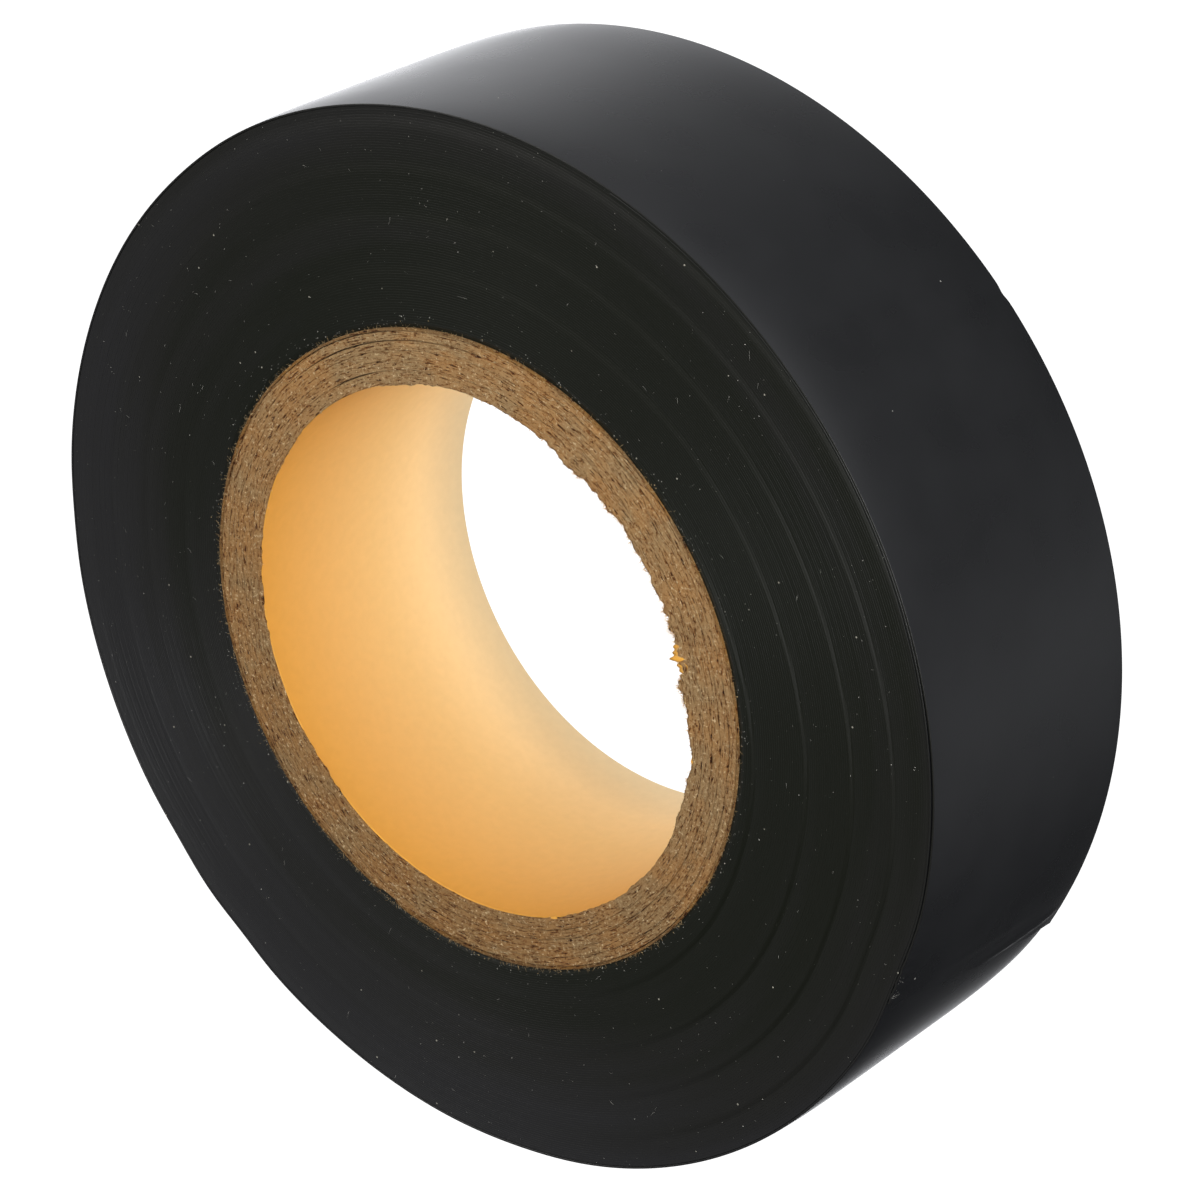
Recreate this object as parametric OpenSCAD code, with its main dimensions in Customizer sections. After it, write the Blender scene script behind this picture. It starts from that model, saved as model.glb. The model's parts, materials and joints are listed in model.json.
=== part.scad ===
// Roll of electrical insulating tape on a paper core, lying on its side.
// The roll's axis is Z and the origin is on that axis, in the plane the roll rests on.
// Core, from the bore outwards: a smooth liner, greyboard plies glued one on another,
// and a thin kraft wrap. Tape: one long strip wound anticlockwise inwards from its free
// end, seen from above. It is drawn as stretches of whole turns, then its last turn, and
// its free end is a tail of short links that peel off one after another.

/* [Core] */
// Diameter of the bore
bore_d = 32; // [25:0.5:40]
// Thickness of the smooth paper that lines the bore
liner_t = 0.2; // [0.1:0.05:0.4]
// Number of greyboard plies
ply_count = 5; // [3:1:8]
// Thickness of one greyboard ply
ply_t = 0.56; // [0.3:0.02:0.8]
// Thickness of the kraft ply wrapped round the greyboard
wrap_t = 0.2; // [0.1:0.05:0.4]
// Height of the core above the plane the roll rests on
core_lift = 0.05; // [0:0.05:0.2]

/* [Tape] */
// Width of the tape, which is also the length of the core
tape_w = 18; // [12:1:50]
// Thickness of the film with its adhesive
tape_t = 0.15; // [0.11:0.01:0.2]
// Thickness of the adhesive alone, left open under the tail so that it can lift
adhesive_t = 0.02; // [0.01:0.005:0.03]
// Whole turns in the first three stretches, from the core outwards
inner_turns = [16, 17, 18]; // [6:1:30]
// Whole turns in the last two stretches
outer_turns = [18, 15]; // [6:1:30]
// Sideways drift of the first three stretches
inner_drift = [0.1, 0, 0.1]; // [0:0.05:0.2]
// Sideways drift of the last two stretches
outer_drift = [0.05, 0]; // [0:0.05:0.2]

/* [Tail] */
// Where the strip's free end lies on the rim, in degrees from +X
end_angle = -40; // [-180:5:180]
// How much of the last turn can be peeled, in degrees
tail_arc = 90; // [30:10:150]
// Number of links in the tail
tail_count = 5; // [2:1:10]
// Gap between two links
link_gap = 0.04; // [0.02:0.01:0.1]
// Sideways drift of the last turn and its tail
tail_drift = 0.1; // [0.05:0.05:0.2]

/* [Hidden] */
$fn = 180;
bore_r = bore_d / 2;
board_r = bore_r + liner_t;
wrap_r = board_r + ply_count * ply_t;
core_r = wrap_r + wrap_t;
stretch_turns = concat(inner_turns, outer_turns);
stretch_drift = concat(inner_drift, outer_drift);
stretch_count = len(stretch_turns);
// Radius of the rim at the free end
rim_r = stretch_r(stretch_count) + tape_t;
// A spiral turn is two half turns, whose centres lie this far to each side of the axis
centre_shift = tape_t / 4;
// Radius of the half turn that starts at the free end
tail_r = rim_r - centre_shift;
film_t = tape_t - adhesive_t;
link_arc = tail_arc / tail_count;
trim_arc = link_gap / 2 / tail_r * 180 / PI;
// How far a cutting shape runs past what it cuts
past = 1;

// Number of turns in the stretches up to number n
function turns_to(n) = n == 0 ? 0 : stretch_turns[n - 1] + turns_to(n - 1);

// Radius of the winding after n stretches
function stretch_r(n) = core_r + turns_to(n) * tape_t;

// A plain ring of the tape's width, standing at a height
module ring(r_in, r_out, lift) {
    translate([0, 0, lift])
        difference() {
            cylinder(r = r_out, h = tape_w);
            translate([0, 0, -past])
                cylinder(r = r_in, h = tape_w + 2 * past);
        }
}

// Half of a disc on the side of +Y, with its centre shifted along X, and longer than the
// tape's width by a margin at each end
module half_disc(r, margin) {
    intersection() {
        translate([centre_shift, 0, -margin])
            cylinder(r = r, h = tape_w + 2 * margin);
        translate([-r - past, 0, -margin - past])
            cube([2 * (r + past), r + past, tape_w + 2 * (margin + past)]);
    }
}

// A disc whose radius starts at r and falls by one thickness in a turn, to a step
module spiral_disc(r, margin = 0) {
    rotate([0, 0, end_angle]) {
        half_disc(r - centre_shift, margin);
        rotate([0, 0, 180])
            half_disc(r - 3 * centre_shift, margin);
    }
}

// A strip of thickness t on the half turn that starts at the free end, between two angles
module bent_strip(r_out, t, from_arc, to_arc, margin = 0) {
    rotate([0, 0, end_angle])
        translate([centre_shift, 0, -margin])
            rotate([0, 0, from_arc])
                rotate_extrude(angle = to_arc - from_arc)
                    translate([r_out - t, 0])
                        square([t, tape_w + 2 * margin]);
}

// Smooth paper that lines the bore
module core_liner() {
    color("#E2A04A")
        ring(bore_r, board_r, core_lift);
}

// Greyboard ply number i, counted from the bore
module core_ply(i) {
    color("#96734B")
        ring(board_r + (i - 1) * ply_t, board_r + i * ply_t, core_lift);
}

// Thin kraft ply that the tape starts on
module core_wrap() {
    color("#A98458")
        ring(wrap_r, core_r, core_lift);
}

// Stretch number i of the winding. The outermost one follows the strip's spiral, and
// steps up by one thickness under the free end.
module winding(i) {
    r_in = stretch_r(i - 1);
    lift = stretch_drift[i - 1];
    color(i % 2 == 0 ? "#262725" : "#1E1F1D")
        if (i < stretch_count)
            ring(r_in, stretch_r(i), lift);
        else
            translate([0, 0, lift])
                difference() {
                    spiral_disc(rim_r - tape_t);
                    translate([0, 0, -past])
                        cylinder(r = r_in, h = tape_w + 2 * past);
                }
}

// The last turn, from the tail's root round to where it runs under the free end
module last_turn() {
    color("#2B2C2D")
        translate([0, 0, tail_drift])
            difference() {
                spiral_disc(rim_r);
                spiral_disc(rim_r - tape_t, past);
                bent_strip(tail_r + past, 2 * past, 0, tail_arc + trim_arc, past);
            }
}

// Link number i of the tail, counted from its root to the free end
module tail_link(i) {
    color("#303133")
        translate([0, 0, tail_drift])
            bent_strip(
                tail_r, film_t,
                tail_arc - i * link_arc + trim_arc,
                tail_arc - (i - 1) * link_arc - trim_arc
            );
}

core_liner();
for (i = [1:ply_count])
    core_ply(i);
core_wrap();
for (i = [1:stretch_count])
    winding(i);
last_turn();
for (i = [1:tail_count])
    tail_link(i);
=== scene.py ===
"""A part-used roll of black PVC electrical tape on a greyboard core, lying on its side.

The strip is laid turn by turn on one spiral, inwards from its free end, and the core is a nest
of rings with a sawn end. Each function that makes a surface works it out from two parameters,
and its docstring gives the formula in words.
"""
import json
import math

import bpy
import numpy as np
from mathutils import Matrix, Vector


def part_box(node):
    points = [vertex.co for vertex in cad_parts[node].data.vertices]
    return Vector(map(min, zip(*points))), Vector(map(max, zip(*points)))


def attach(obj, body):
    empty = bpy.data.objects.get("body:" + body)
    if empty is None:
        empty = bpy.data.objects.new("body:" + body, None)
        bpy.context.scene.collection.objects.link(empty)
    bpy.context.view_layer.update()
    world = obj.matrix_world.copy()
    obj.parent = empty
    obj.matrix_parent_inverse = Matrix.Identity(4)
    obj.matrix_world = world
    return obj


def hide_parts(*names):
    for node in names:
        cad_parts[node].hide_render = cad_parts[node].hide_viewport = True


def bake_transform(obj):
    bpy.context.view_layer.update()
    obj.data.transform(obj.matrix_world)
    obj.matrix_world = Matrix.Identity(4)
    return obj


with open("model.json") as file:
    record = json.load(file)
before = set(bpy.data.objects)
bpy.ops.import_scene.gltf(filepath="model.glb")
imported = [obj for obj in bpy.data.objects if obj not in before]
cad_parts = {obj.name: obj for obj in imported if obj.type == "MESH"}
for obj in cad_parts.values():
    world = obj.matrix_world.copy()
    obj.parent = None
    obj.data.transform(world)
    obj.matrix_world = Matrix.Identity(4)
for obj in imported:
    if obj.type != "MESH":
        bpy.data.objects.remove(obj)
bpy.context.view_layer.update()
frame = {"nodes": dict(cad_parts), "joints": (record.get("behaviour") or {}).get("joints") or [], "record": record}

MM = 0.001
FULL = 2 * math.pi

# ---------------------------------------------------------------- sizes, from the frame

mounts = {m["name"]: m for m in frame["record"]["mounts"]}
hinges = {j["child"]: j["pos_m"] for j in frame["joints"]}
tail_links = sorted(hinges)
plies = sorted(n for n in frame["nodes"] if n.startswith("core_ply_"))
windings = sorted(n for n in frame["nodes"] if n.startswith("winding_"))


def reach(node):
    """Outer radius of a ring that stands on the axis."""
    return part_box(node)[1][0]


def levels(node):
    """Lowest and highest z of a node."""
    low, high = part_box(node)
    return low[2], high[2]


# The strip with its adhesive, and the adhesive alone, are as thick as in the CAD model
TAPE_T = 0.15 * MM
ADHESIVE_T = 0.02 * MM
FILM_T = TAPE_T - ADHESIVE_T
BORE_R = mounts["core_bore"]["dims"]["r_mm"] * MM
LINER_R = reach("core_liner")
CORE_R = reach("core_wrap")
CORE_LOW, CORE_TOP = levels("core_liner")
TAPE_LOW, TAPE_TOP = levels("last_turn")
TAPE_W = TAPE_TOP - TAPE_LOW
# Angles of the hinges round the roll, from the tail's root to its last link
hinge_angle = [math.atan2(hinges[n][1], hinges[n][0]) for n in tail_links]
LINK_ARC = hinge_angle[0] - hinge_angle[1]
ROOT = hinge_angle[0]
FREE_END = ROOT - len(tail_links) * LINK_ARC
TAIL_TURN = (ROOT - FREE_END) / FULL
# Turns in from the free end at which the last turn's film stops. It goes right round and on
# under the tail, to just past the tail's root.
UNDERLAP = 1.27
RIM_R = math.hypot(*hinges[tail_links[0]][:2]) + TAPE_T * TAIL_TURN
# Radii at which the stretches meet, from the core out to where the last turn's film lies
stretch_r = [CORE_R] + [reach(n) for n in windings[:-1]] + [RIM_R - TAPE_T * UNDERLAP]
TURNS = (RIM_R - CORE_R) / TAPE_T

# ---------------------------------------------------------------- small helpers


def smooth(x, low, high):
    """0 below low, 1 above high, and an even S between them."""
    t = np.clip((x - low) / (high - low), 0, 1)
    return t * t * (3 - 2 * t)


def bump(angle, centre, half_width):
    """A rounded bump of height 1 round a centre, with angles wrapped to half a turn."""
    away = (angle - centre + math.pi) % FULL - math.pi
    return np.exp(-((away / half_width) ** 2))


def cloud(shape, spread, seed):
    """Smooth noise of unit spread: white noise blurred by a Gaussian that is `spread` samples
    wide along each axis, and joined end to end along both."""
    draw = np.random.default_rng(seed).standard_normal(shape)
    spectrum = np.fft.fft2(draw)
    for axis, width in enumerate(spread):
        f = np.fft.fftfreq(shape[axis])
        fall = np.exp(-2 * (math.pi * f * width) ** 2)
        spectrum *= fall[:, None] if axis == 0 else fall[None, :]
    field = np.fft.ifft2(spectrum).real
    return field / field.std()


def wander(count, spread, seed):
    """The same smooth noise along one line of `count` samples."""
    return cloud((count, 2), (spread, 0), seed)[:, 0]


def quads(rows, cols, close_rows=False, close_cols=False):
    """Four-cornered faces of a grid of points numbered row by row."""
    i = np.arange(rows if close_rows else rows - 1)[:, None]
    j = np.arange(cols if close_cols else cols - 1)[None, :]
    i2, j2 = (i + 1) % rows, (j + 1) % cols
    corners = [i * cols + j, i2 * cols + j, i2 * cols + j2, i * cols + j2]
    shape = (len(i), j.shape[1])
    return np.stack([np.broadcast_to(c, shape) for c in corners], -1).reshape(-1, 4)


def outward(points, faces):
    """Turns every face round if the closed surface they make has a negative volume."""
    a, b, c, d = (points[faces[:, k]] for k in range(4))
    volume = np.einsum("ij,ij->i", a, np.cross(b, c) + np.cross(c, d)).sum()
    return faces if volume > 0 else faces[:, ::-1]


def piece(name, points, faces, materials, body=None, part=None, wind=None,
          face_mat=None, caps=0):
    """One mesh object from an array of points and an array of faces. It rides on a body, stands
    for the CAD nodes in `part` and takes the given materials. `wind` is a vector for each point, which
    a pattern that runs round the roll reads. The last `caps` faces have sharp edges."""
    mesh = bpy.data.meshes.new(name)
    mesh.vertices.add(len(points))
    mesh.vertices.foreach_set("co", points.astype(np.float32).ravel())
    corners = faces.shape[1]
    mesh.loops.add(faces.size)
    mesh.loops.foreach_set("vertex_index", faces.astype(np.int32).ravel())
    mesh.polygons.add(len(faces))
    mesh.polygons.foreach_set("loop_start", np.arange(0, faces.size, corners, dtype=np.int32))
    mesh.polygons.foreach_set("use_smooth", np.ones(len(faces), bool))
    if face_mat is not None:
        mesh.polygons.foreach_set("material_index", face_mat.astype(np.int32))
    for m in materials:
        mesh.materials.append(m)
    if wind is not None:
        layer = mesh.attributes.new("wind", "FLOAT_VECTOR", "POINT")
        layer.data.foreach_set("vector", wind.astype(np.float32).ravel())
    mesh.update(calc_edges=True)
    if caps:
        edge_of = np.zeros(faces.size, np.int32)
        mesh.loops.foreach_get("edge_index", edge_of)
        sharp = np.zeros(len(mesh.edges), bool)
        sharp[edge_of[-caps * corners:]] = True
        mesh.attributes.new("sharp_edge", "BOOLEAN", "EDGE").data.foreach_set("value", sharp)
    made = bpy.data.objects.new(name, mesh)
    bpy.context.scene.collection.objects.link(made)
    if body:
        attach(made, body)
    if part:
        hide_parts(*part)
    return made


# ---------------------------------------------------------------- materials


def linear(hex_colour):
    """An sRGB hex colour as the linear RGBA that a shader takes."""
    srgb = np.array([int(hex_colour[i:i + 2], 16) for i in (1, 3, 5)]) / 255
    rgb = np.where(srgb <= 0.04045, srgb / 12.92, ((srgb + 0.055) / 1.055) ** 2.4)
    return (*rgb, 1.0)


def add(tree, kind, settings=(), links=()):
    """Adds one node. settings maps an attribute, or an input's name or number, to a value, and
    links maps an input to the output that feeds it."""
    node = tree.nodes.new(kind)
    for key, value in dict(settings).items():
        if isinstance(key, int) or key in node.inputs:
            node.inputs[key].default_value = value
        else:
            setattr(node, key, value)
    for key, source in dict(links).items():
        tree.links.new(source, node.inputs[key])
    return node


def new_material(name):
    """An empty node material, and its tree."""
    made = bpy.data.materials.new(name)
    made.use_nodes = True
    made.node_tree.nodes.clear()
    return made, made.node_tree


def close_material(tree, shader):
    """Feeds a shader to the material's output."""
    add(tree, "ShaderNodeOutputMaterial", links={"Surface": shader.outputs[0]})


def ramp(tree, factor, stops):
    """A colour ramp between (position, hex colour) stops."""
    node = add(tree, "ShaderNodeValToRGB", links={"Fac": factor})
    band = node.color_ramp
    while len(band.elements) < len(stops):
        band.elements.new(0.5)
    for element, (place, colour) in zip(band.elements, stops):
        element.position = place
        element.color = linear(colour)
    return node.outputs["Color"]


def spots(tree, where, per_metre, size, keep):
    """1 in small round spots, `size` cells in radius. A cell holds a spot when its random value is
    over `keep`."""
    cells = add(tree, "ShaderNodeTexVoronoi", {"Scale": per_metre, "Randomness": 1.0},
                {"Vector": where})
    near = add(tree, "ShaderNodeMath", {"operation": "LESS_THAN", 1: size},
               {0: cells.outputs["Distance"]})
    part = add(tree, "ShaderNodeSeparateColor", links={"Color": cells.outputs["Color"]})
    chosen = add(tree, "ShaderNodeMath", {"operation": "GREATER_THAN", 1: keep},
                 {0: part.outputs["Red"]})
    return add(tree, "ShaderNodeMath", {"operation": "MULTIPLY"},
               {0: near.outputs[0], 1: chosen.outputs[0]}).outputs[0]


def calendered_film():
    """Soft PVC film, carbon black, rolled between satin calender rolls: a dark, faintly cool
    surface with a broad soft highlight, fine grain, and dust that clings to it."""
    made, tree = new_material("calendered_pvc_film")
    place = add(tree, "ShaderNodeTexCoord").outputs["Object"]
    # Clouds of gloss are about 4 mm across
    cloudy = add(tree, "ShaderNodeTexNoise", {"Scale": 260.0, "Detail": 3.0}, {"Vector": place})
    # Calender grain is about 0.04 mm; it is drawn at 0.12 mm, so that it shows
    grain = add(tree, "ShaderNodeTexNoise", {"Scale": 8300.0, "Detail": 2.0}, {"Vector": place})
    # Dust is 0.12 mm across, in cells of 2 mm
    dust = spots(tree, place, per_metre=480.0, size=0.030, keep=0.55)
    base = ramp(tree, cloudy.outputs["Fac"], [(0.3, "#0C0D0F"), (0.7, "#121315")])
    colour = add(tree, "ShaderNodeMix", {"data_type": "RGBA", 7: linear("#8C8B86")},
                 {0: dust, 6: base})
    gloss = add(tree, "ShaderNodeMapRange", {"To Min": 0.25, "To Max": 0.31},
                {"Value": cloudy.outputs["Fac"]})
    relief = add(tree, "ShaderNodeBump", {"Strength": 0.10, "Distance": 0.00003},
                 {"Height": grain.outputs["Fac"]})
    shader = add(tree, "ShaderNodeBsdfPrincipled", {"IOR": 1.53},
                 {"Base Color": colour.outputs[2], "Roughness": gloss.outputs[0],
                  "Normal": relief.outputs[0]})
    close_material(tree, shader)
    return made


# The side face's wound edges are darkest and most olive round this point
DARKEST_POINT = (6.0 * MM, 4.0 * MM, TAPE_TOP)


def slit_edge():
    """The wound edges of the same film, cut by a slitting knife: near black with an olive cast,
    duller than the film, finely scored along the turns."""
    made, tree = new_material("slit_pvc_edge")
    wind = add(tree, "ShaderNodeAttribute", {"attribute_name": "wind"}).outputs["Vector"]
    place = add(tree, "ShaderNodeTexCoord").outputs["Object"]
    # Pale patches are 24 mm long, and knife scores 1.1 mm, both 9 times finer across the turns
    cloudy = add(tree, "ShaderNodeTexNoise", {"Scale": 42.0, "Detail": 2.0}, {"Vector": wind})
    score = add(tree, "ShaderNodeTexNoise", {"Scale": 900.0, "Detail": 3.0}, {"Vector": wind})
    # Dust is 0.11 mm across, in cells of 1.4 mm
    dust = spots(tree, place, per_metre=700.0, size=0.040, keep=0.45)
    # The wound edges are paler and greyer the further they lie from that point, so the outer turns most, and
    # unevenly
    away = add(tree, "ShaderNodeVectorMath", {"operation": "DISTANCE", 1: DARKEST_POINT}, {0: place})
    paling = add(tree, "ShaderNodeMath", {"operation": "MULTIPLY_ADD", 1: 0.018},
                 {0: cloudy.outputs["Fac"], 2: away.outputs["Value"]})
    share = add(tree, "ShaderNodeMapRange", {"From Min": 0.031, "From Max": 0.044},
                {"Value": paling.outputs[0]})
    base = ramp(tree, share.outputs[0], [(0.0, "#11130C"), (0.5, "#191917"), (1.0, "#1F1F20")])
    colour = add(tree, "ShaderNodeMix", {"data_type": "RGBA", 7: linear("#8E8B80")},
                 {0: dust, 6: base})
    gloss = add(tree, "ShaderNodeMapRange", {"To Min": 0.36, "To Max": 0.46},
                {"Value": score.outputs["Fac"]})
    relief = add(tree, "ShaderNodeBump", {"Strength": 0.12, "Distance": 0.00002},
                 {"Height": score.outputs["Fac"]})
    shader = add(tree, "ShaderNodeBsdfPrincipled", {"IOR": 1.53, "Specular IOR Level": 0.3},
                 {"Base Color": colour.outputs[2], "Roughness": gloss.outputs[0],
                  "Normal": relief.outputs[0]})
    close_material(tree, shader)
    return made


def tacky_adhesive():
    """Pressure-sensitive rubber adhesive on the film's inner side: black, wetter looking than the
    film, with blotches where it let go unevenly."""
    made, tree = new_material("rubber_adhesive")
    place = add(tree, "ShaderNodeTexCoord").outputs["Object"]
    # Blotches are about 0.3 mm; they are drawn at 1.4 mm, so that they show
    blotch = add(tree, "ShaderNodeTexNoise", {"Scale": 700.0, "Detail": 4.0}, {"Vector": place})
    colour = ramp(tree, blotch.outputs["Fac"], [(0.3, "#0E0E0E"), (0.7, "#191817")])
    gloss = add(tree, "ShaderNodeMapRange", {"To Min": 0.18, "To Max": 0.38},
                {"Value": blotch.outputs["Fac"]})
    relief = add(tree, "ShaderNodeBump", {"Strength": 0.3, "Distance": 0.00004},
                 {"Height": blotch.outputs["Fac"]})
    shader = add(tree, "ShaderNodeBsdfPrincipled", {"IOR": 1.5},
                 {"Base Color": colour, "Roughness": gloss.outputs[0],
                  "Normal": relief.outputs[0]})
    close_material(tree, shader)
    return made


# The direction, from the axis, towards which the board is painted lighter: painted light, as if the lamps lit that
# side more
PAINTED_LIGHT_SIDE = (0.5, 0.866, 0.0)


def sawn_board(name, dark, streak, body, grey, pale):
    """Recycled greyboard or kraft, sawn across: matted brown fibres drawn out along the ply, with
    dark pits, pale fibre ends and soft blotches."""
    made, tree = new_material(name)
    wind = add(tree, "ShaderNodeAttribute", {"attribute_name": "wind"}).outputs["Vector"]
    place = add(tree, "ShaderNodeTexCoord").outputs["Object"]
    # Fibres are about 1 mm by 0.03 mm; their bundles are drawn 0.7 mm long and 0.08 mm across the
    # ply, and the matted ends between them 0.2 mm, with blotches of 2.4 mm
    drawn = add(tree, "ShaderNodeTexNoise", {"Scale": 1400.0, "Detail": 4.0, "Roughness": 0.65},
                {"Vector": wind})
    matted = add(tree, "ShaderNodeTexNoise", {"Scale": 5200.0, "Detail": 3.0, "Roughness": 0.7},
                 {"Vector": place})
    blotch = add(tree, "ShaderNodeTexNoise", {"Scale": 420.0, "Detail": 2.0}, {"Vector": place})
    tone = ramp(tree, blotch.outputs["Fac"], [(0.35, body), (0.65, grey)])
    shade = ramp(tree, drawn.outputs["Fac"], [(0.36, dark), (0.41, streak), (0.47, "#FFFFFF")])
    pits = ramp(tree, matted.outputs["Fac"], [(0.28, dark), (0.34, streak), (0.43, "#FFFFFF")])
    # Painted shade: the board is painted darker across the core away from one side, as if less light reached there
    side = add(tree, "ShaderNodeVectorMath", {"operation": "DOT_PRODUCT", 1: PAINTED_LIGHT_SIDE},
               {0: place})
    painted_light_share = add(tree, "ShaderNodeMapRange", {"From Min": -CORE_R, "From Max": CORE_R},
               {"Value": side.outputs["Value"]})
    painted_side_shade = ramp(tree, painted_light_share.outputs[0], [(0.0, "#DAD6D0"), (1.0, "#FFFFFF")])
    for layer in (shade, pits, painted_side_shade):
        tone = add(tree, "ShaderNodeMix", {"data_type": "RGBA", "blend_type": "MULTIPLY", 0: 1.0},
                   {6: tone, 7: layer}).outputs[2]
    ends = add(tree, "ShaderNodeMapRange", {"From Min": 0.58, "From Max": 0.74},
               {"Value": matted.outputs["Fac"]})
    colour = add(tree, "ShaderNodeMix", {"data_type": "RGBA", 7: linear(pale)},
                 {0: ends.outputs[0], 6: tone}).outputs[2]
    both = add(tree, "ShaderNodeMix", {"data_type": "FLOAT", 0: 0.4},
               {2: drawn.outputs["Fac"], 3: matted.outputs["Fac"]})
    relief = add(tree, "ShaderNodeBump", {"Strength": 1.0, "Distance": 0.00018},
                 {"Height": both.outputs[0]})
    shader = add(tree, "ShaderNodeBsdfPrincipled", {"Roughness": 0.9, "Specular IOR Level": 0.25},
                 {"Base Color": colour, "Normal": relief.outputs[0]})
    close_material(tree, shader)
    return made


def liner_paper():
    """Smooth machine-glazed paper, dyed amber and glued inside the tube: an even, slightly silky
    face, with painted light: paler towards the roll's lower end, for the white table's glow there."""
    made, tree = new_material("amber_liner_paper")
    place = add(tree, "ShaderNodeTexCoord").outputs["Object"]
    height = add(tree, "ShaderNodeSeparateXYZ", links={"Vector": place}).outputs["Z"]
    share = add(tree, "ShaderNodeMapRange", {"From Min": CORE_LOW, "From Max": CORE_TOP},
                {"Value": height})
    # Paper formation: clumps of fibre 0.6 mm across
    fibre = add(tree, "ShaderNodeTexNoise", {"Scale": 1800.0, "Detail": 4.0}, {"Vector": place})
    # Painted light: the amber is painted fading to cream towards the lower end, for the table's light
    tint = ramp(tree, share.outputs[0], [(0.0, "#EFD3A3"), (0.45, "#E4BC7A"), (1.0, "#E4A644")])
    worn = ramp(tree, fibre.outputs["Fac"], [(0.3, "#FAFAFA"), (0.7, "#FFFFFF")])
    colour = add(tree, "ShaderNodeMix", {"data_type": "RGBA", "blend_type": "MULTIPLY", 0: 1.0},
                 {6: tint, 7: worn})
    relief = add(tree, "ShaderNodeBump", {"Strength": 0.02, "Distance": 0.00002},
                 {"Height": fibre.outputs["Fac"]})
    shader = add(tree, "ShaderNodeBsdfPrincipled", {"Roughness": 0.62, "Specular IOR Level": 0.3},
                 {"Base Color": colour.outputs[2], "Normal": relief.outputs[0]})
    close_material(tree, shader)
    return made


def loose_fibre(name, stops):
    """Paper fibre or lint: pale and matt, with a tint that changes every 0.3 mm."""
    made, tree = new_material(name)
    place = add(tree, "ShaderNodeTexCoord").outputs["Object"]
    mottle = add(tree, "ShaderNodeTexNoise", {"Scale": 3000.0, "Detail": 2.0}, {"Vector": place})
    tint = ramp(tree, mottle.outputs["Fac"], stops)
    shader = add(tree, "ShaderNodeBsdfPrincipled", {"Roughness": 0.85, "Specular IOR Level": 0.3},
                 {"Base Color": tint})
    close_material(tree, shader)
    return made


film = calendered_film()
edge = slit_edge()
adhesive = tacky_adhesive()
# A piece of tape has these three materials, and each of its faces one of their numbers
film_stack = [film, edge, adhesive]
FILM, EDGE, ADHESIVE = range(3)
greyboard = sawn_board("recycled_greyboard", dark="#5A3B20", streak="#C2A078", body="#A67E4F",
                       grey="#9E815A", pale="#DCC49A")
kraft = sawn_board("kraft_wrap_ply", dark="#5A3B20", streak="#BC9A72", body="#8C6636",
                   grey="#7E6240", pale="#C2A678")
liner_face = liner_paper()
torn = loose_fibre("torn_liner_fibre", [(0.3, "#C48E48"), (0.7, "#EBD0A0")])
lint = loose_fibre("cotton_lint", [(0.3, "#9C9A94"), (0.7, "#D8D6CE")])
crumb = loose_fibre("board_crumb", [(0.3, "#7A5E3C"), (0.7, "#D2B98C")])

# ---------------------------------------------------------------- how the winding lies

# The knife that slit the tape wandered, and its wander meets itself a little later in each
# turn, so the steps in the side face lie on a second, much coarser spiral.
STEP_START = 20.2 * MM
# Coarse spiral lines in a millimetre at that radius, and how many more a millimetre further out
STEPS_PER_MM = 0.262
STEPS_GAIN = 0.013
# A step's depth, the length over which the face climbs back, and the width of its wall
STEP_DROP = 0.075 * MM
STEP_RISE = 0.42 * MM
STEP_WALL = 0.24 * MM
# How far the outermost turns fall away, and how far the first ones lie below the core
SHOULDER = 0.20 * MM
INNER_DIP = 0.10 * MM


def face_relief(r, a):
    """Depth of the wound edges under the side face's plane, as a negative height. Outwards from
    each coarse spiral line the face drops at once, climbs back in about half a millimetre, and
    then gently on. The spiral tightens outwards, the steps are softer where the roll was pressed,
    and the outermost turns fall away on one side."""
    x = (r - STEP_START) / MM
    pitch = MM / (STEPS_PER_MM + STEPS_GAIN * x)
    wobble = 0.035 * np.sin(a + 0.6) + 0.02 * np.sin(2 * a + 2.0) + 0.008 * np.sin(9 * a)
    line = STEPS_PER_MM * x + STEPS_GAIN / 2 * x * x + a / FULL + wobble
    out = (line % 1.0) * pitch
    climb = 1 - np.exp(-out / STEP_RISE)
    crisp = bump(a, math.radians(-20), math.radians(70))
    wall = 1 - smooth(out, pitch - STEP_WALL * (1 + 3 * (1 - crisp)), pitch)
    strength = 0.50 + 0.50 * crisp - 0.2 * bump(a, math.radians(235), math.radians(50))
    step = STEP_DROP * strength * (0.8 * climb + 0.5 * out / pitch) * wall
    sides = 0.3 + 0.7 * bump(a, math.radians(195), math.radians(70))
    shoulder = SHOULDER * sides * smooth(r, RIM_R - 1.9 * MM, RIM_R) ** 1.5
    inner_dip = INNER_DIP * (1 - smooth(r, CORE_R, CORE_R + 0.4 * MM))
    return step - shoulder - inner_dip - 1.3 * STEP_DROP


# Flats and dents pressed into the rim: angle and half width in degrees, depth, and whether the
# dent is at the film's lower edge (-1), right across it (0) or at its upper edge (1)
DENTS = ((206.0, 5.0, 0.14 * MM, 0), (219.0, 4.5, 0.18 * MM, 0), (30.0, 0.7, 0.08 * MM, -1),
         (167.0, 6.0, 0.10 * MM, 0), (262.0, 8.0, 0.08 * MM, 0), (118.0, 9.0, 0.06 * MM, 0),
         (-32.0, 6.5, 0.26 * MM, 1))
dent_across = {-1: lambda h: (1 - h) ** 4, 0: lambda h: 1 + 0 * h, 1: lambda h: h ** 8}
# How far the crown draws in the two edges of the outermost turn
CROWN = 0.13 * MM


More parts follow.
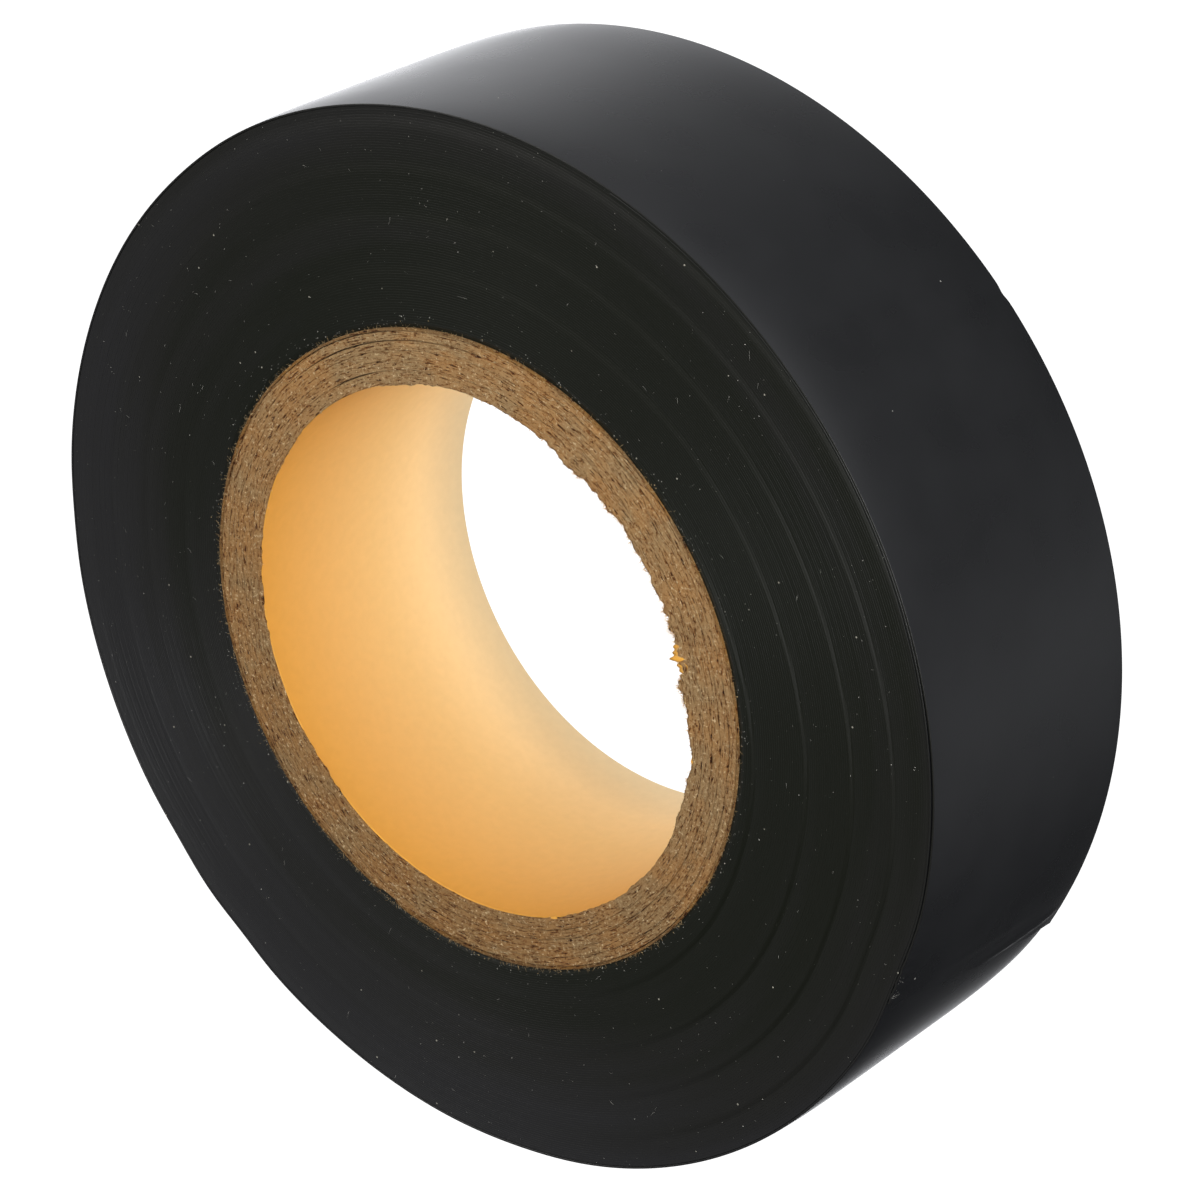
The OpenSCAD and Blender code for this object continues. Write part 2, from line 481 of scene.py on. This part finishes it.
def settled(r, a, z):
    """Radius once the roll has been handled: less the dents and a crown that draws the film's two
    edges in by the sixth power of the height off the middle, and more or less two slow waves
    round the roll. All of it fades towards the core."""
    share = smooth(r, CORE_R, RIM_R) ** 2
    height = (z - TAPE_LOW) / TAPE_W
    sink = sum(depth * bump(a, math.radians(at), math.radians(wide)) * dent_across[place](height)
               for at, wide, depth, place in DENTS)
    crown = CROWN * np.abs(2 * height - 1) ** 6
    swell = 0.03 * MM * np.sin(3 * a + 1.0) + 0.01 * MM * np.sin(7 * a)
    return r - share * (sink + crown - swell)


def strip_point(turn, depth, z):
    """A point of the strip: `turn` turns in from the free end and `depth` below its outer face."""
    a = FREE_END + FULL * turn
    r = settled(RIM_R - TAPE_T * turn - depth, a, z)
    return np.stack([r * np.cos(a), r * np.sin(a), z], -1)


# How much finer a pattern is across the turns than along them
ACROSS = 9.0


def wind_vector(points):
    """A place for patterns that run round the roll: the point's x and y moved to a circle of one
    radius, and its true radius times ACROSS."""
    a = np.arctan2(points[:, 1], points[:, 0])
    r = np.hypot(points[:, 0], points[:, 1])
    return np.stack([CORE_R * np.cos(a), CORE_R * np.sin(a), r * ACROSS], -1)


STEPS_A_TURN = 240
# The lower side face has the same kind of relief, started at another angle, in radians
LOWER_TURN = 1.9
# Air left between two turns, and the rounding of a slit edge
AIR = 0.0004 * MM
ROUND_R = 0.003 * MM
# Spread of the strip's sideways wander
DRIFT = 0.0018 * MM
turn_drift = wander(int(TURNS + 3) * STEPS_A_TURN, STEPS_A_TURN * 0.22, 7)


def edge_drift(turn):
    """Small sideways wander of the strip at a turn in from its free end."""
    return DRIFT * np.interp(turn * STEPS_A_TURN, np.arange(len(turn_drift)), turn_drift)


def wound_stretch(node, r_low, r_high):
    """A stretch of the strip, from one radius to another. Its outline, two long faces and two
    rounded edges, is carried along the spiral, and each edge follows the side face's relief."""
    first, last = (RIM_R - r_high) / TAPE_T, (RIM_R - r_low) / TAPE_T
    rows = int((last - first) * STEPS_A_TURN) + 1
    turn = np.linspace(first, last, rows)[:, None]
    a = FREE_END + FULL * turn
    thick = TAPE_T - AIR
    # Outline: up the outer face, over the top edge, down the inner face, under the bottom edge
    depth = np.array([0, 0, 0, 0.05, 0.2, 0.8, 0.95, 1, 1, 1, 0.95, 0.8, 0.2, 0.05]) * thick
    inset = np.array([1, 0, 1, 0, 0, 0, 0, 1, 0, 1, 0, 0, 0, 0]) * ROUND_R
    top = np.array([0, 0.5, 1, 1, 1, 1, 1, 1, 0.5, 0, 0, 0, 0, 0])
    r = RIM_R - TAPE_T * turn - depth
    high = TAPE_TOP + face_relief(r, a) + edge_drift(turn) - inset
    low = TAPE_LOW - face_relief(r, LOWER_TURN - a) - 0.5 * STEP_DROP
    low = low + edge_drift(turn + 1) + inset
    z = low + (high - low) * top
    points = strip_point(turn + 0 * z, depth + 0 * z, z)
    cols = points.shape[1]
    points = points.reshape(-1, 3)
    faces = quads(rows, cols, close_cols=True)
    # The outline's points in fours, which close the strip's two ends
    ends = np.array([(0, 13, 12, 11), (0, 11, 10, 9), (0, 9, 8, 1), (1, 8, 7, 2), (2, 7, 6, 3),
                     (3, 6, 5, 4)])
    faces = np.concatenate([faces, ends[:, ::-1], ends + (rows - 1) * cols])
    kind = np.tile([FILM] * 2 + [EDGE] * 5 + [ADHESIVE] * 2 + [EDGE] * 5, rows - 1)
    kind = np.concatenate([kind, np.full(2 * len(ends), EDGE)])
    faces = outward(points, faces)
    return piece(node + "_tape", points, faces, film_stack, "roll", [node],
                 wind_vector(points), kind, 2 * len(ends))


for n, node in enumerate(windings):
    wound_stretch(node, stretch_r[n], stretch_r[n + 1])

# ---------------------------------------------------------------- the last turn and its tail

# The strip was torn off by hand: its end runs askew by this much of the rim from one edge of
# the film to the other, and its far corner stands off by this many millimetres
END_SKEW = math.radians(7.5)
CORNER_LIFT = 0.03
# Points across the film, and its steps round the last turn and along one link
FILM_COLS = 49
TURN_STEPS = 720
LINK_STEPS = 60


def end_lift(s, v):
    """How far the film stands off near its torn end, in millimetres, `s` millimetres along from
    the end and at the share `v` of its width: a low ridge that rolls over just before the end, a
    second crease behind it, a lifted far corner, fine crumpling, and a near edge pressed in."""
    ridge = 0.10 * (0.65 + 0.35 * np.sin(8 * v + 0.4)) * np.exp(-((s - 0.42) / 0.28) ** 2)
    ridge = ridge * smooth(v, 0.0, 0.12) * smooth(1 - v, 0.0, 0.2)
    crease = 0.035 * smooth(v, 0.2, 0.4) * smooth(0.8 - v, 0, 0.2)
    crease = crease * np.exp(-((s - 1.9 - 1.6 * v) / 0.28) ** 2)
    corner = CORNER_LIFT * (1 - v) ** 3 * np.exp(-s / 1.6)
    crumple = 0.006 * np.sin(5.1 * s + 9 * v) * np.sin(2.3 * s - 14 * v + 1) * np.exp(-s / 3.0)
    pressed = 0.06 * smooth(v, 0.93, 1.0) * np.exp(-((s - 3.5) / 4.0) ** 2)
    pressed = pressed * np.sin(9 * s) * np.sin(3.1 * s + 1)
    return ridge + crease + corner + crumple - pressed


def film_run(name, from_turn, to_turn, steps, body=None, part=None, cut=False):
    """A run of the film's last turn: outer face, adhesive face and two cut edges, as one closed
    sheet on a grid of turns and heights. With a cut, it starts on the torn end's own line."""
    rows, cols = steps + 1, FILM_COLS
    v = np.linspace(0, 1, cols)[None, :]
    # Heights crowd towards both edges, where the film turns in
    v = 0.5 - 0.5 * np.cos(math.pi * v)
    u = np.linspace(0, 1, rows)[:, None]
    start = from_turn + 0 * v
    if cut:
        ragged = 0.030 * np.sin(9 * v + 0.5) + 0.016 * np.sin(23 * v + 1.0)
        start = start + END_SKEW / FULL * (v - 0.33 + ragged)
    turn = start + (to_turn - start) * u
    a = FREE_END + FULL * turn
    rise = face_relief(RIM_R - TAPE_T * turn, a) + 0.4 * STEP_DROP + edge_drift(turn) * 2
    fall = 0.3 * STEP_DROP + edge_drift(turn + 0.5)
    z = TAPE_LOW + fall * (1 - v) + (TAPE_W + rise) * v
    lift = end_lift(turn * FULL * RIM_R / MM, v) * MM
    outer = strip_point(turn, -lift, z)
    inner = strip_point(turn, FILM_T - lift, z)
    loop = np.concatenate([outer, inner[:, ::-1]], 1)
    points = loop.reshape(-1, 3)
    faces = quads(rows, 2 * cols, close_cols=True)
    spans = cols - 1
    kind = np.tile([FILM] * spans + [EDGE] + [ADHESIVE] * spans + [EDGE], rows - 1)
    rail = np.arange(spans)
    ends = np.stack([rail, rail + 1, 2 * cols - 2 - rail, 2 * cols - 1 - rail], -1)
    faces = np.concatenate([faces, ends[:, ::-1], ends + (rows - 1) * 2 * cols])
    kind = np.concatenate([kind, np.full(2 * spans, EDGE)])
    faces = outward(points, faces)
    return piece(name, points, faces, film_stack, body, part, wind_vector(points),
                 kind, 2 * spans)


def link_turn(k):
    """Turns in from the free end of the middle of link number k, counted from the root."""
    return TAIL_TURN * (1 - (k - 0.5) / len(tail_links))


film_run("last_turn_film", TAIL_TURN, UNDERLAP, TURN_STEPS, "roll", ["last_turn"])

# Each piece of the tail runs from the middle of one link to the middle of the next. The first
# starts at the root, and the last has the torn end.
for k, link in enumerate(tail_links, 1):
    is_last = k == len(tail_links)
    far_turn = 0.0 if is_last else link_turn(k)
    near_turn = TAIL_TURN if k == 1 else link_turn(k - 1)
    made = film_run("film_" + link, far_turn, near_turn, LINK_STEPS, cut=is_last)
    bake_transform(made)
    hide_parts(link)

# ---------------------------------------------------------------- the core

CORE_STEPS = 1260
core_angle = np.linspace(0, FULL, CORE_STEPS, endpoint=False)
# Drops below a ring's top at which its walls have a point, the length over which the walls ease
# to their true radii, and the shares of the height at which they have two more points
WALL_DROP = np.array([0.70, 0.35, 0.12]) * MM
EASE = 0.30 * MM
WALL_SHARE = np.array([[0.25, 0.6]])


def ring(name, node, wall_in, wall_out, top_in, top_out, rough, material, seed, across):
    """A closed ring on a grid of angles and outline points. The outline climbs the inner wall,
    crosses the rough top in `across` points, goes down the outer wall and comes back under the
    bottom. Each wall is its radius at the top by angle, and the true radius to which it eases
    lower down as a bell of the drop. The top's height by angle goes evenly from the inner wall's
    to the outer wall's, with fine and broad noise, and pits where a third noise is low."""
    a = core_angle[:, None]
    t = np.linspace(0, 1, across)[None, :]
    (rim_in, true_in), (rim_out, true_out) = wall_in, wall_out
    lip_in, lip_out = rim_in(a), rim_out(a)
    height = top_in(a) + (top_out(a) - top_in(a)) * t
    noise = cloud((CORE_STEPS, across), (2.2, 0.7), seed) * 0.6
    noise = noise + cloud((CORE_STEPS, across), (9, 1.2), seed + 1) * 0.5
    pits = np.minimum(cloud((CORE_STEPS, across), (5, 0.8), seed + 2) + 1.7, 0)
    top_z = height + rough * noise + 2.6 * rough * pits
    top_r = lip_in + (lip_out - lip_in) * t
    under_z = CORE_LOW + 0.5 * rough * (1 + 0.4 * noise[:, ::-1])
    under_r = true_out + (true_in - true_out) * t + 0 * a
    ease = np.exp(-(WALL_DROP / EASE) ** 2)
    in_z = top_z[:, :1] - WALL_DROP[None, :]
    in_r = true_in + (lip_in - true_in) * ease[None, :]
    out_z = top_z[:, -1:] - WALL_DROP[None, ::-1]
    out_r = true_out + (lip_out - true_out) * ease[None, ::-1]
    mid_up = CORE_LOW + (CORE_TOP - CORE_LOW) * WALL_SHARE + 0 * a
    mid_down = mid_up[:, ::-1]
    r = np.concatenate([true_in + 0 * mid_up, in_r, top_r, out_r, true_out + 0 * mid_down,
                        under_r], 1)
    z = np.concatenate([mid_up, in_z, top_z, out_z, mid_down, under_z], 1)
    points = np.stack([r * np.cos(a), r * np.sin(a), z], -1)
    cols = points.shape[1]
    points = points.reshape(-1, 3)
    faces = outward(points, quads(CORE_STEPS, cols, True, True))
    return piece(name, points, faces, [material], "roll", [node], wind_vector(points))


def burr(a):
    """How far the saw dragged the inner ply over the bore: two broad bumps where the blade came
    out, made ragged by noise, and a slight wave all round."""
    broad = 0.50 * MM * bump(a, 0.02, 0.30) + 0.34 * MM * bump(a, 0.75, 0.42)
    fine = wander(CORE_STEPS, 1.6, 41) * 0.8 + wander(CORE_STEPS, 9, 42)
    ragged = np.interp(a % FULL, core_angle, fine, period=FULL)
    wave = 0.05 * MM * np.sin(9 * a) + 0.03 * MM * np.sin(5 * a + 1)
    return broad * (1 + 0.22 * ragged) + np.maximum(wave + 0.034 * MM * ragged, -0.02 * MM)


def bare(a):
    """Where the board tore away and left the amber liner in sight: three bumps, in tatters."""
    tatters = 0.78 + 0.16 * np.sin(150 * a) + 0.14 * np.sin(263 * a + 1)
    torn_off = bump(a, 0.055, 0.085) + 0.7 * bump(a, -0.33, 0.03) + 0.35 * bump(a, 0.74, 0.05)
    return torn_off * tatters


def flat(value):
    """A radius or height that is the same all round."""
    return lambda a: value + 0 * a


def lip(a):
    """Inner edge of the first ply at the top: over the liner, except where it tore away."""
    return BORE_R - 0.02 * MM - burr(a) * (1 - 0.8 * bare(a)) + 0.22 * MM * bare(a)


def liner_top(a):
    """The liner ends just under the lip, and stands up in fuzz where it is bare."""
    return CORE_TOP - 0.16 * MM + 0.10 * MM * bare(a)


def liner_lip(a):
    """Inner edge of the liner at the top, dragged inwards where it is bare."""
    return BORE_R - (1.1 * burr(a) + 0.06 * MM) * bare(a)


ring("core_liner_paper", "core_liner", (liner_lip, BORE_R), (flat(LINER_R), LINER_R), liner_top,
     liner_top, 0.006 * MM, liner_face, seed=50, across=4)

ply_r = [LINER_R] + [reach(n) for n in plies]
# How far each ply's sawn end stands over or under the core's top
PLY_LEVEL = np.array([-0.02, 0.03, -0.01, 0.02, -0.03]) * MM

# Where two plies have come apart: angle, half width, and half the gap
SPLITS = {1: (32.0, 14.0, 0.050 * MM), 3: (-25.0, 16.0, 0.030 * MM), 4: (95.0, 26.0, 0.040 * MM)}


def slit(a, n):
    """Half the gap between ply n and the next one out: a split, if it has one, and slow noise
    where that is high enough to open."""
    opening = np.clip(wander(CORE_STEPS, 26, 60 + n) - 0.7, 0, 2)
    at, wide, gap = SPLITS.get(n, (0.0, 1.0, 0.0))
    split = gap * bump(a, math.radians(at), math.radians(wide))
    return split + 0.045 * MM * np.interp(a % FULL, core_angle, opening, period=FULL)


for n, node in enumerate(plies):
    level = CORE_TOP + PLY_LEVEL[n % len(PLY_LEVEL)]
    inner_edge = lip if n == 0 else (lambda a, n=n: ply_r[n] + slit(a, n))
    outer_edge = lambda a, n=n: ply_r[n + 1] - slit(a, n + 1)
    ring("greyboard_" + node, node, (inner_edge, ply_r[n]), (outer_edge, ply_r[n + 1]),
         flat(level - 0.03 * MM), flat(level), 0.032 * MM, greyboard,
         seed=70 + 5 * n, across=11 if n == 0 else 8)

# Widest gap between the greyboard and the wrap
WRAP_GAP = 0.05 * MM


def chip(a):
    """A chip out of the core's outer edge."""
    return bump(a, math.radians(-124), math.radians(1.3))


ring("kraft_wrap", "core_wrap",
     (lambda a: ply_r[-1] + WRAP_GAP * (0.4 + 0.6 * np.sin(2 * a + 0.5) ** 2), ply_r[-1]),
     (lambda a: CORE_R - 0.01 * MM - 0.08 * MM * chip(a), CORE_R),
     lambda a: CORE_TOP + 0.03 * MM - 0.5 * MM * chip(a),
     lambda a: CORE_TOP + 0.01 * MM - 0.6 * MM * chip(a), 0.014 * MM, kraft,
     seed=110, across=4)

# ---------------------------------------------------------------- fibres, lint and dust


def hairs(name, root, heading, length, thick, material, seed, curl=0.5):
    """Tapered hairs as one mesh. Each starts at its root, runs along its heading and bends
    steadily towards a random side, and its radius falls evenly to a quarter at the tip."""
    g = np.random.default_rng(seed)
    count, steps, sides = len(root), 4, 3
    s = np.linspace(0, 1, steps)[None, :, None]
    side = g.standard_normal((count, 3))
    side -= (side * heading).sum(1, keepdims=True) * heading
    side /= np.linalg.norm(side, axis=1, keepdims=True)
    bend = curl * g.uniform(-1, 1, (count, 1, 1))
    course = s * heading[:, None, :] + bend * s ** 2 * side[:, None, :]
    path = root[:, None, :] + length[:, None, None] * course
    other = np.cross(heading, side)
    t = np.arange(sides) * FULL / sides
    radius = thick[:, None, None, None] * (1 - 0.75 * s[..., None])
    loop = np.cos(t)[None, None, :, None] * side[:, None, None, :]
    loop = loop + np.sin(t)[None, None, :, None] * other[:, None, None, :]
    points = (path[:, :, None, :] + radius * loop).reshape(-1, 3)
    one = quads(steps, sides, close_cols=True)
    faces = (one[None] + (np.arange(count) * steps * sides)[:, None, None]).reshape(-1, 4)
    piece(name, points, faces, [material], "roll", None)


def fleck_field(name, centre, normal, size, material, seed, body="roll"):
    """Flecks as one mesh: each is a squashed eight-sided lump that lies on the surface, with its
    six corners at random shares of its size from its middle."""
    g = np.random.default_rng(seed)
    count = len(centre)
    spin = g.standard_normal((count, 3))
    spin -= (spin * normal).sum(1, keepdims=True) * normal
    spin /= np.linalg.norm(spin, axis=1, keepdims=True)
    other = np.cross(normal, spin)
    axes = np.stack([spin, other, normal], 1)
    corner = np.array([[1, 0, 0], [0, 1, 0], [-1, 0, 0], [0, -1, 0], [0, 0, 1], [0, 0, -1]], float)
    corner = corner[None] * g.uniform(0.5, 1.3, (count, 6, 1)) * np.array([1, 0.6, 0.4])
    points = centre[:, None, :] + size[:, None, None] * (corner @ axes)
    tri = np.array([[0, 1, 4], [1, 2, 4], [2, 3, 4], [3, 0, 4], [1, 0, 5], [2, 1, 5], [3, 2, 5],
                    [0, 3, 5]])
    faces = (tri[None] + (np.arange(count) * 6)[:, None, None]).reshape(-1, 3)
    piece(name, points.reshape(-1, 3), faces, [material], body, None)


def around(a, r, z):
    """Points at angles, radii and heights."""
    return np.stack([r * np.cos(a), r * np.sin(a), z + 0 * a], -1)


def upward(count):
    """Normals of a level face."""
    return np.tile([0.0, 0.0, 1.0], (count, 1))


def scattered(g, a):
    """Headings near the inward direction at each angle."""
    inward = -np.stack([np.cos(a), np.sin(a), 0 * a], -1)
    heading = inward + 0.75 * g.standard_normal(inward.shape)
    return heading / np.linalg.norm(heading, axis=1, keepdims=True)


def fuzz():
    """Torn fibres of board and liner along the lip of the bore, thick where the burr is."""
    g = np.random.default_rng(91)
    a = np.concatenate([g.normal(0.04, 0.26, 700), g.normal(0.7, 0.34, 500),
                        g.uniform(0, FULL, 380)])
    r = lip(a) + g.uniform(-0.02, 0.08, len(a)) * MM
    z = CORE_TOP - g.uniform(0.0, 0.22, len(a)) * MM
    length = g.uniform(0.08, 0.34, len(a)) * (0.5 + 0.5 * bump(a, 0.35, 0.6)) * MM
    thick = g.uniform(0.010, 0.020, len(a)) * MM
    hairs("torn_fibres", around(a, r, z), scattered(g, a), length, thick, torn, 92)


def board_fibres():
    """Short pale fibres that stand out of the sawn end and lean over the first turns of tape."""
    g = np.random.default_rng(93)
    count = 3200
    a = g.uniform(0, FULL, count)
    rim = g.uniform(0, 1, count) < 0.25
    r = np.where(rim, CORE_R + g.normal(0, 0.05, count) * MM, g.uniform(LINER_R, CORE_R, count))
    z = CORE_TOP + np.where(rim, 0.0, 0.02) * MM
    along = np.stack([-np.sin(a), np.cos(a), 0 * a], -1) + 0.6 * g.standard_normal((count, 3))
    heading = np.where(rim[:, None], -scattered(g, a), along)
    heading[:, 2] = np.abs(heading[:, 2]) * np.where(rim, 0.6, 0.2)
    length = g.uniform(0.06, 0.30, count) * MM
    thick = g.uniform(0.007, 0.016, count) * MM
    hairs("board_fibres", around(a, r, z), heading, length, thick, crumb, 94)


def face_lint():
    """Short curled lint on the side face."""
    g = np.random.default_rng(95)
    count = 90
    a = g.uniform(0, FULL, count)
    r = g.uniform(CORE_R + 0.4 * MM, RIM_R - 0.8 * MM, count)
    z = TAPE_TOP + face_relief(r, a) + 0.015 * MM
    heading = np.stack([np.cos(a * 7), np.sin(a * 7), 0 * a], -1)
    length = g.uniform(0.12, 0.45, count) * MM
    thick = np.full(count, 0.006 * MM)
    hairs("face_lint", around(a, r, z), heading, length, thick, lint, 96, curl=0.8)


def face_dust():
    """Dust on the side face, densest beside the core where the sawing left it."""
    g = np.random.default_rng(101)
    count = 1500
    a = g.uniform(0, FULL, count)
    far = g.uniform(0, 1, count) ** 0.8
    r = CORE_R + 0.3 * MM + far * (RIM_R - CORE_R - 0.6 * MM)
    near_core = g.uniform(0, 1, count) < 0.34
    r = np.where(near_core, CORE_R + np.abs(g.normal(0, 0.45, count)) * MM + 0.10 * MM, r)
    z = TAPE_TOP + face_relief(r, a) + 0.003 * MM
    size = np.where(near_core, 0.018, 0.012) * MM + np.abs(g.normal(0, 0.014, count)) * MM
    fleck_field("face_dust", around(a, r, z), upward(count), size, lint, 102)


def film_specks(name, turn, height, size, body, seed):
    """Specks on the outer film, at turns in from the free end and shares of the film's width,
    with sizes in millimetres."""
    centre = strip_point(turn, np.full(len(turn), -0.003 * MM), TAPE_LOW + height * TAPE_W)
    a = FREE_END + FULL * turn
    normal = np.stack([np.cos(a), np.sin(a), 0 * a], -1)
    fleck_field(name, centre, normal, size * MM, lint, seed, body)


def rim_specks():
    """Specks on the part of the rim that doesn't peel, and a crowd of them where the near edge
    of the torn end was pressed in."""
    g = np.random.default_rng(105)
    count, crowd = 170, 60
    turn, height = g.uniform(TAIL_TURN + 0.01, 0.99, count), g.uniform(0.03, 0.97, count)
    size = 0.011 + np.abs(g.normal(0, 0.012, count))
    film_specks("rim_specks", turn, height, size, "roll", 106)
    turn = g.uniform(0.0145, 0.024, crowd)
    height = 1 - np.abs(g.normal(0, 0.012, crowd)) - 0.004
    size = 0.010 + np.abs(g.normal(0, 0.014, crowd))
    film_specks("end_specks", turn, height, size, tail_links[-1], 108)


def board_crumbs():
    """Crumbs of sawn board round the core's outer edge."""
    g = np.random.default_rng(111)
    count = 160
    a = g.uniform(0, FULL, count)
    r = CORE_R + g.normal(0.12, 0.22, count) * MM
    z = CORE_TOP + g.uniform(-0.03, 0.02, count) * MM
    size = g.uniform(0.02, 0.06, count) * MM
    fleck_field("board_crumbs", around(a, r, z), upward(count), size, crumb, 112)


fuzz()
board_fibres()
face_lint()
face_dust()
rim_specks()
board_crumbs()

# ---------------------------------------------------------------- stage, light and camera


def glow(name, strength):
    """Lit white acrylic or paper: an even white with no shade or grain in it."""
    made, tree = new_material(name)
    shader = add(tree, "ShaderNodeEmission", {"Color": linear("#FFFFFF"), "Strength": strength})
    close_material(tree, shader)
    return made


def light_table():
    """A white light table under the roll, and a white sweep round it that is a sphere on a grid
    of heights and angles. The table lights the roll from below. No gloss mirrors either of them,
    and the softboxes and the sky shine through both."""
    half, radius, rows, cols = 1.2, 4, 24, 48
    floor = piece("light_table", np.array([[-half, -half, 0], [half, -half, 0], [half, half, 0],
                                           [-half, half, 0]]), np.array([[0, 1, 2, 3]]),
                  [glow("white_acrylic", 1.16)])
    a = np.linspace(0, FULL, cols, endpoint=False)[None, :]
    h = np.linspace(-0.5 * math.pi, 0.5 * math.pi, rows)[:, None]
    ball = radius * np.stack([np.cos(h) * np.cos(a), np.cos(h) * np.sin(a), np.sin(h) + 0 * a], -1)
    sweep = piece("white_sweep", ball.reshape(-1, 3), quads(rows, cols, close_cols=True),
                  [glow("white_sweep_paper", 1.0)])
    sweep.visible_diffuse = False
    for o in (floor, sweep):
        o.visible_glossy = False
        o.visible_shadow = False
        o.visible_transmission = False


def direction(azimuth, elevation):
    """Unit vector from the roll towards a compass angle and a height angle, in degrees."""
    az, el = math.radians(azimuth), math.radians(elevation)
    return np.array([math.cos(el) * math.cos(az), math.cos(el) * math.sin(az), math.sin(el)])


# Brightness of the studio where nothing lights it
DIM = 0.035
# Soft patches of the surroundings: azimuth, elevation, width in degrees, brightness
PATCHES = ((-164, -46, 13, 4.0), (-147, -42, 8, 3.0), (150, -40, 28, 1.0), (90, -46, 14, 0.14),
           (-38, -46, 19, 0.31), (4, -46, 24, 0.09), (98, -4, 18, 0.6), (-152, 22, 16, 0.45),
           (40, -58, 40, 0.06))
# A long low strip of light that only the roll's rounded edge mirrors: azimuth, elevation, width
# round the roll in degrees, half height as a share of the sky's radius, brightness
STRIP = (42, -34, 36, 0.095, 1.5)


def bell(tree, look, azimuth, elevation, width):
    """e to the power k (cos x - 1), x being the angle from a direction, and k such that it falls
    to 1/e at the width."""
    near = add(tree, "ShaderNodeVectorMath",
               {"operation": "DOT_PRODUCT", 1: tuple(direction(azimuth, elevation))}, {0: look})
    k = 1 / (1 - math.cos(math.radians(width)))
    less = add(tree, "ShaderNodeMath", {"operation": "MULTIPLY_ADD", 1: k, 2: -k},
               {0: near.outputs["Value"]})
    return add(tree, "ShaderNodeMath", {"operation": "EXPONENT"}, {0: less.outputs[0]}).outputs[0]


def surroundings():
    """The studio as a smooth sky: a dim base, a few broad patches, each falling off as a bell of
    the angle from its middle, and a strip, whose bell falls off with height as well."""
    world = bpy.data.worlds.new("studio")
    bpy.context.scene.world = world
    world.use_nodes = True
    tree = world.node_tree
    tree.nodes.clear()
    look = add(tree, "ShaderNodeTexCoord").outputs["Generated"]
    azimuth, elevation, width, half_height, strength = STRIP
    middle = math.sin(math.radians(elevation))
    height = add(tree, "ShaderNodeSeparateXYZ", links={"Vector": look}).outputs["Z"]
    off = add(tree, "ShaderNodeMath",
              {"operation": "MULTIPLY_ADD", 1: 1 / half_height, 2: -middle / half_height},
              {0: height}).outputs[0]
    square = add(tree, "ShaderNodeMath", {"operation": "MULTIPLY"}, {0: off, 1: off}).outputs[0]
    fall = add(tree, "ShaderNodeMath", {"operation": "POWER", 0: math.exp(-1)}, {1: square})
    along = bell(tree, look, azimuth, elevation, width)
    strip = add(tree, "ShaderNodeMath", {"operation": "MULTIPLY"}, {0: fall.outputs[0], 1: along})
    total = add(tree, "ShaderNodeMath", {"operation": "MULTIPLY", 1: strength},
                {0: strip.outputs[0]}).outputs[0]
    for azimuth, elevation, width, strength in PATCHES:
        lit = add(tree, "ShaderNodeMath", {"operation": "MULTIPLY", 1: strength},
                  {0: bell(tree, look, azimuth, elevation, width)})
        total = add(tree, "ShaderNodeMath", {"operation": "ADD"},
                    {0: total, 1: lit.outputs[0]}).outputs[0]
    base = add(tree, "ShaderNodeMath", {"operation": "ADD", 1: DIM}, {0: total})
    back = add(tree, "ShaderNodeBackground", {"Color": linear("#FAFBFF")},
               {"Strength": base.outputs[0]})
    add(tree, "ShaderNodeOutputWorld", links={"Surface": back.outputs[0]})


# Softboxes: azimuth and elevation, distance and size in metres, power in watts, colour
SOFTBOXES = {
    "far_side_softbox": (125, 45, 0.6, 0.35, 1.7, "#FFFDF8"),
    "overhead_softbox": (20, 78, 0.6, 0.35, 0.7, "#FFFFFF"),
    "near_side_softbox": (5, 46, 0.7, 0.40, 4.0, "#FFFFFF"),
}


def softbox(name, azimuth, elevation, distance, size, power, colour):
    """A square area light that faces the roll."""
    lamp = bpy.data.lights.new(name, "AREA")
    lamp.energy = power
    lamp.size = size
    lamp.color = linear(colour)[:3]
    made = bpy.data.objects.new(name, lamp)
    bpy.context.scene.collection.objects.link(made)
    away = direction(azimuth, elevation)
    made.location = tuple(away * distance)
    made.rotation_mode = "QUATERNION"
    made.rotation_quaternion = Vector(away).to_track_quat("Z", "Y")


def camera():
    """The camera looks down at the roll from one side, rolled so that the rim leans right."""
    azimuth, elevation, lean = 23.79, 44.14, 118.33
    aim = np.array([2.32, 0.145, 8.97]) * MM
    distance = 232.6 * MM
    cam = bpy.data.objects.new("camera", bpy.data.cameras.new("camera"))
    bpy.context.scene.collection.objects.link(cam)
    # Focal length and sensor width in millimetres
    cam.data.lens, cam.data.sensor_width = 121.8, 36.0
    cam.data.clip_start, cam.data.clip_end = 0.01, 20.0
    away = direction(azimuth, elevation)
    upright = Vector(away).to_track_quat("Z", "Y")
    turned = upright.to_matrix().to_4x4() @ Matrix.Rotation(-math.radians(lean), 4, "Z")
    turned.translation = Vector(aim + away * distance)
    cam.matrix_world = turned
    bpy.context.scene.camera = cam


light_table()
surroundings()
for name, values in SOFTBOXES.items():
    softbox(name, *values)
camera()
bpy.context.scene.view_settings.view_transform = "Standard"
